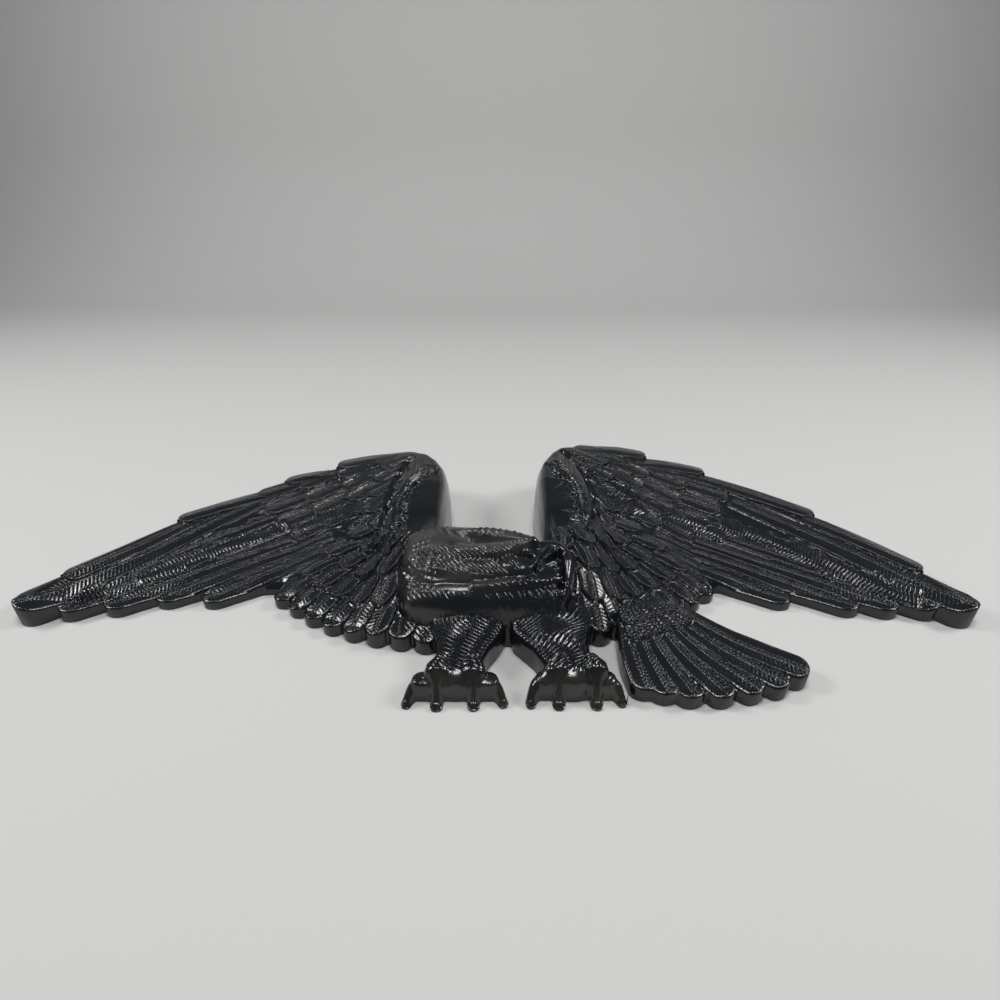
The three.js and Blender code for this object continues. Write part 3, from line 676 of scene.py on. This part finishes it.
# The paint is a blue-black gloss, brushed on and a little uneven. It is dull with brown dust on the nape and the
# crown, and rubbed thin on the feet. It fills the cutting of the feathers, so that only beads of it catch light.
BARB_PITCH, BARB_SLANT, BEAD_PITCH = 2.7, 0.35, 2.4
QUILL_FROM, BORDER_FROM, LINE_HALF = 1.2, 1.4, 1.15  # where the lines lie off the quill and the border, in mm
DARK, LIGHT = (0.003, 0.0036, 0.005, 1), (0.008, 0.0095, 0.012, 1)
DUST, RUBBED = (0.05, 0.047, 0.045, 1), (0.03, 0.026, 0.02, 1)
BUMP_HEIGHT = 0.0006
paint = bpy.data.materials.new("blue_black_paint")
paint.use_nodes = True
coat = paint.node_tree
nodes, links = coat.nodes, coat.links
shader = nodes["Principled BSDF"]


def feed(socket, value):
    """Gives a socket a link or a value."""
    if isinstance(value, bpy.types.NodeSocket):
        socket.id_data.links.new(value, socket)
    elif value is not None:
        socket.default_value = value


def calculate(tree, operation, a, b=None, c=None):
    node = tree.nodes.new("ShaderNodeMath")
    node.operation = operation
    for socket, value in zip(node.inputs, (a, b, c)):
        feed(socket, value)
    return node.outputs[0]


def carried(name):
    """A measure that the skin carries from the relief."""
    node = nodes.new("ShaderNodeAttribute")
    node.attribute_name = name
    return node.outputs["Fac"]


def grain_noise(scale, detail):
    node = nodes.new("ShaderNodeTexNoise")
    node.inputs["Scale"].default_value = scale
    node.inputs["Detail"].default_value = detail
    links.new(place.outputs["Object"], node.inputs["Vector"])
    return node.outputs["Fac"]


def blended(share, a, b):
    node = nodes.new("ShaderNodeMix")
    node.data_type = "RGBA"
    feed(node.inputs["Factor"], share)
    feed(node.inputs[6], a)
    feed(node.inputs[7], b)
    return node.outputs[2]


def ribs_and_beads(tree, along, across, edge, barb, bead, pitch, slant, bead_pitch, solid, dots):
    """The cutting of the feathers in millimetres of height: ribs across the vanes, and lines along the quill and
    the border, solid or in dots."""
    def one_minus_square(value, centre):
        off = calculate(tree, "DIVIDE", calculate(tree, "SUBTRACT", value, centre), LINE_HALF)
        return calculate(tree, "MAXIMUM", calculate(tree, "SUBTRACT", 1, calculate(tree, "MULTIPLY", off, off)), 0)

    off = calculate(tree, "ABSOLUTE", across)
    vane = calculate(tree, "MULTIPLY_ADD", edge, 0.7, -1.7)
    beside = calculate(tree, "SUBTRACT", off, 1.8)
    vane.node.use_clamp = beside.node.use_clamp = True
    slanted = calculate(tree, "SUBTRACT", along, calculate(tree, "MULTIPLY", off, slant))
    turn = calculate(tree, "DIVIDE", slanted, pitch)
    wave = calculate(tree, "ABSOLUTE", calculate(tree, "SINE", calculate(tree, "MULTIPLY", turn, math.pi)))
    cut = calculate(tree, "MULTIPLY", calculate(tree, "MULTIPLY", vane, beside), barb)
    ribs = calculate(tree, "MULTIPLY", calculate(tree, "SUBTRACT", wave, 0.6), cut)
    line = calculate(tree, "MAXIMUM", one_minus_square(off, QUILL_FROM), one_minus_square(edge, BORDER_FROM))
    bead_turn = calculate(tree, "DIVIDE", calculate(tree, "SUBTRACT", along, off), bead_pitch)
    row = calculate(tree, "COSINE", calculate(tree, "MULTIPLY", bead_turn, 2 * math.pi))
    beads = calculate(tree, "MULTIPLY_ADD", row, dots, solid)
    return calculate(tree, "MULTIPLY_ADD", calculate(tree, "MULTIPLY", line, bead), beads, ribs)


place = nodes.new("ShaderNodeTexCoord")
uneven = grain_noise(55, 4)
fine = grain_noise(1200, 2)
dusty = calculate(coat, "MULTIPLY", carried("dust"), calculate(coat, "MULTIPLY_ADD", uneven, 1.6, -0.2))
rubbed = calculate(coat, "MULTIPLY", carried("worn"), calculate(coat, "MULTIPLY_ADD", uneven, 2.2, -0.5))
rubbed.node.use_clamp = dusty.node.use_clamp = True
browned = blended(dusty, blended(uneven, DARK, LIGHT), DUST)
links.new(blended(rubbed, browned, RUBBED), shader.inputs["Base Color"])
rough = calculate(coat, "MULTIPLY_ADD", uneven, 0.12, 0.1)
links.new(calculate(coat, "MULTIPLY_ADD", dusty, 0.3, rough), shader.inputs["Roughness"])
shader.inputs["IOR"].default_value = 1.6
bump = nodes.new("ShaderNodeBump")
bump.inputs["Distance"].default_value = BUMP_HEIGHT
cutting = ribs_and_beads(coat, carried("along"), carried("across"), carried("edge"), carried("barb"),
                         carried("bead"), BARB_PITCH, BARB_SLANT, BEAD_PITCH, solid=0.5, dots=0.5)
links.new(calculate(coat, "MULTIPLY_ADD", fine, 0.16, cutting), bump.inputs["Height"])
links.new(bump.outputs["Normal"], shader.inputs["Normal"])

# The barbs across each feather and the lines along its quill and border are cut into the skin, as the gouge cut
# them in the pattern that the mould was made from.
CUT_DEPTH = -0.0004  # for each millimetre of rib or line, towards the front
tree = bpy.data.node_groups.new("cut_barbs", "GeometryNodeTree")
for name, kind, way in (
    ("Geometry", "NodeSocketGeometry", "INPUT"), ("Barb Pitch", "NodeSocketFloat", "INPUT"),
    ("Barb Slant", "NodeSocketFloat", "INPUT"), ("Bead Pitch", "NodeSocketFloat", "INPUT"),
    ("Cut Depth", "NodeSocketFloat", "INPUT"), ("Material", "NodeSocketMaterial", "INPUT"),
    ("Geometry", "NodeSocketGeometry", "OUTPUT"),
):
    tree.interface.new_socket(name, in_out=way, socket_type=kind)
given, result = tree.nodes.new("NodeGroupInput"), tree.nodes.new("NodeGroupOutput")


def named(name):
    node = tree.nodes.new("GeometryNodeInputNamedAttribute")
    node.data_type = "FLOAT"
    node.inputs["Name"].default_value = name
    return node.outputs["Attribute"]


carving = ribs_and_beads(tree, named("along"), named("across"), named("edge"), named("barb"), named("bead"),
                         given.outputs["Barb Pitch"], given.outputs["Barb Slant"], given.outputs["Bead Pitch"],
                         solid=0.25, dots=0)
offset = tree.nodes.new("ShaderNodeCombineXYZ")
feed(offset.inputs["Y"], calculate(tree, "MULTIPLY", carving, given.outputs["Cut Depth"]))
move = tree.nodes.new("GeometryNodeSetPosition")
feed(move.inputs["Geometry"], given.outputs["Geometry"])
feed(move.inputs["Offset"], offset.outputs[0])
whole = tree.nodes.new("GeometryNodeRealizeInstances")
feed(whole.inputs[0], move.outputs[0])
coated = tree.nodes.new("GeometryNodeSetMaterial")
feed(coated.inputs["Geometry"], whole.outputs[0])
feed(coated.inputs["Material"], given.outputs["Material"])
feed(result.inputs[0], coated.outputs[0])

cutter = eagle.modifiers.new("barbs", "NODES")
cutter.node_group = tree
sockets = {item.name: item.identifier for item in tree.interface.items_tree if item.in_out == "INPUT"}
for name, value in (("Barb Pitch", BARB_PITCH), ("Barb Slant", BARB_SLANT), ("Bead Pitch", BEAD_PITCH),
                    ("Cut Depth", CUT_DEPTH), ("Material", paint)):
    cutter[sockets[name]] = value
thin = eagle.modifiers.new("thin", "DECIMATE")
thin.ratio = min(1.0, SKIN_TRIANGLES / (2 * len(faces)))
finished = bpy.data.meshes.new_from_object(eagle.evaluated_get(bpy.context.evaluated_depsgraph_get()))
eagle.modifiers.clear()
# What the cutting lifts past the solid's box is pressed back on its faces
corners = np.empty(3 * len(finished.vertices), np.float32)
finished.vertices.foreach_get("co", corners)
finished.vertices.foreach_set("co", np.clip(corners.reshape(-1, 3), *np.array(cad_box, np.float32)).ravel())
eagle.data = finished
finished.name = "eagle_casting"
finished.set_sharp_from_angle(angle=math.radians(50))
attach(eagle, "root")
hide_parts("eagle")

# The stage: a plain pale floor just behind the plaque that curves up to a wall beyond it, seen from its front only
# and left out where the plaque hides it, soft lamps above and at the sides with one behind for the back, and the
# camera below the plaque's feet.
FLOOR, FLOOR_END, COVE, COVE_STEPS, WALL_END = 3.0, 1.0, 0.35, 12, -0.7
BEHIND, PANE = 0.0004, 0.0025  # how far behind the plaque the floor lies, and the size of its panes there
rows = [(-FLOOR, BEHIND)] + [(z, BEHIND) for z in np.arange(-0.09, 0.2, PANE)] + [(FLOOR_END, BEHIND)]
for step in range(1, COVE_STEPS + 1):
    turn = step / COVE_STEPS * math.pi / 2
    rows.append((FLOOR_END + COVE * math.sin(turn), BEHIND - COVE * (1 - math.cos(turn))))
rows.append((FLOOR_END + COVE, WALL_END))
columns = [-FLOOR, *np.arange(-0.35, 0.351, PANE), FLOOR]
at_row = np.clip(np.searchsorted(z_line, [1000 * z for z, _ in rows]), 0, len(z_line) - 1)
at_column = np.clip(np.searchsorted(x_line, 1000 * np.array(columns)), 0, len(x_line) - 1)
hidden = inside[np.ix_(at_row, at_column)] > 1.5
width = len(columns)
panes = [(i * width + j, i * width + j + 1, (i + 1) * width + j + 1, (i + 1) * width + j)
         for i in range(len(rows) - 1) for j in range(width - 1) if not hidden[i:i + 2, j:j + 2].all()]
sheet = bpy.data.meshes.new("floor")
sheet.from_pydata([(x, y, z) for z, y in rows for x in columns], [], panes)
sheet.shade_smooth()
floor = bpy.data.objects.new("floor", sheet)
bpy.context.collection.objects.link(floor)
pale = bpy.data.materials.new("pale_floor")
pale.use_nodes = True
nodes, links = pale.node_tree.nodes, pale.node_tree.links
nodes["Principled BSDF"].inputs["Base Color"].default_value = (0.56, 0.555, 0.545, 1)
nodes["Principled BSDF"].inputs["Roughness"].default_value = 0.7
side = nodes.new("ShaderNodeNewGeometry")
clear = nodes.new("ShaderNodeBsdfTransparent")
choose = nodes.new("ShaderNodeMixShader")
links.new(side.outputs["Backfacing"], choose.inputs[0])
links.new(nodes["Principled BSDF"].outputs[0], choose.inputs[1])
links.new(clear.outputs[0], choose.inputs[2])
links.new(choose.outputs[0], nodes["Material Output"].inputs["Surface"])
sheet.materials.append(pale)

world = bpy.data.worlds.new("daylight")
world.use_nodes = True
world.node_tree.nodes["Background"].inputs["Color"].default_value = (0.86, 0.94, 1, 1)
world.node_tree.nodes["Background"].inputs["Strength"].default_value = 0.12
bpy.context.scene.world = world


LAMP_AIM = Vector((0, 0, 0.05))


def soft_light(name, location, size, power):
    light = bpy.data.lights.new(name, "AREA")
    light.shape = "RECTANGLE"
    light.size, light.size_y = size
    light.energy = power
    lamp = bpy.data.objects.new(name, light)
    bpy.context.collection.objects.link(lamp)
    lamp.location = location
    lamp.rotation_euler = (LAMP_AIM - Vector(location)).to_track_quat("-Z", "Y").to_euler()


soft_light("above", (0, -1.5, -0.1), (0.55, 0.45), 13.5)
soft_light("left", (-1.15, -0.95, 0.2), (0.35, 0.35), 8)
soft_light("right", (1.15, -0.95, 0.2), (0.35, 0.35), 8)
soft_light("behind", (0.4, 1.1, 0.7), (0.7, 0.7), 12)

SENSOR, LENS_SHARE, CAMERA_TILT = 36, 0.588, 30.2  # the lens is a share of the sensor, and the tilt in degrees
lens = bpy.data.cameras.new("camera")
lens.sensor_width = SENSOR
lens.lens = LENS_SHARE * SENSOR
camera = bpy.data.objects.new("camera", lens)
bpy.context.collection.objects.link(camera)
camera.location = (0.0061, -0.2886, -0.330)
camera.rotation_euler = (math.pi - math.radians(CAMERA_TILT), 0, 0)
bpy.context.scene.camera = camera
bpy.context.scene.view_settings.view_transform = "Standard"
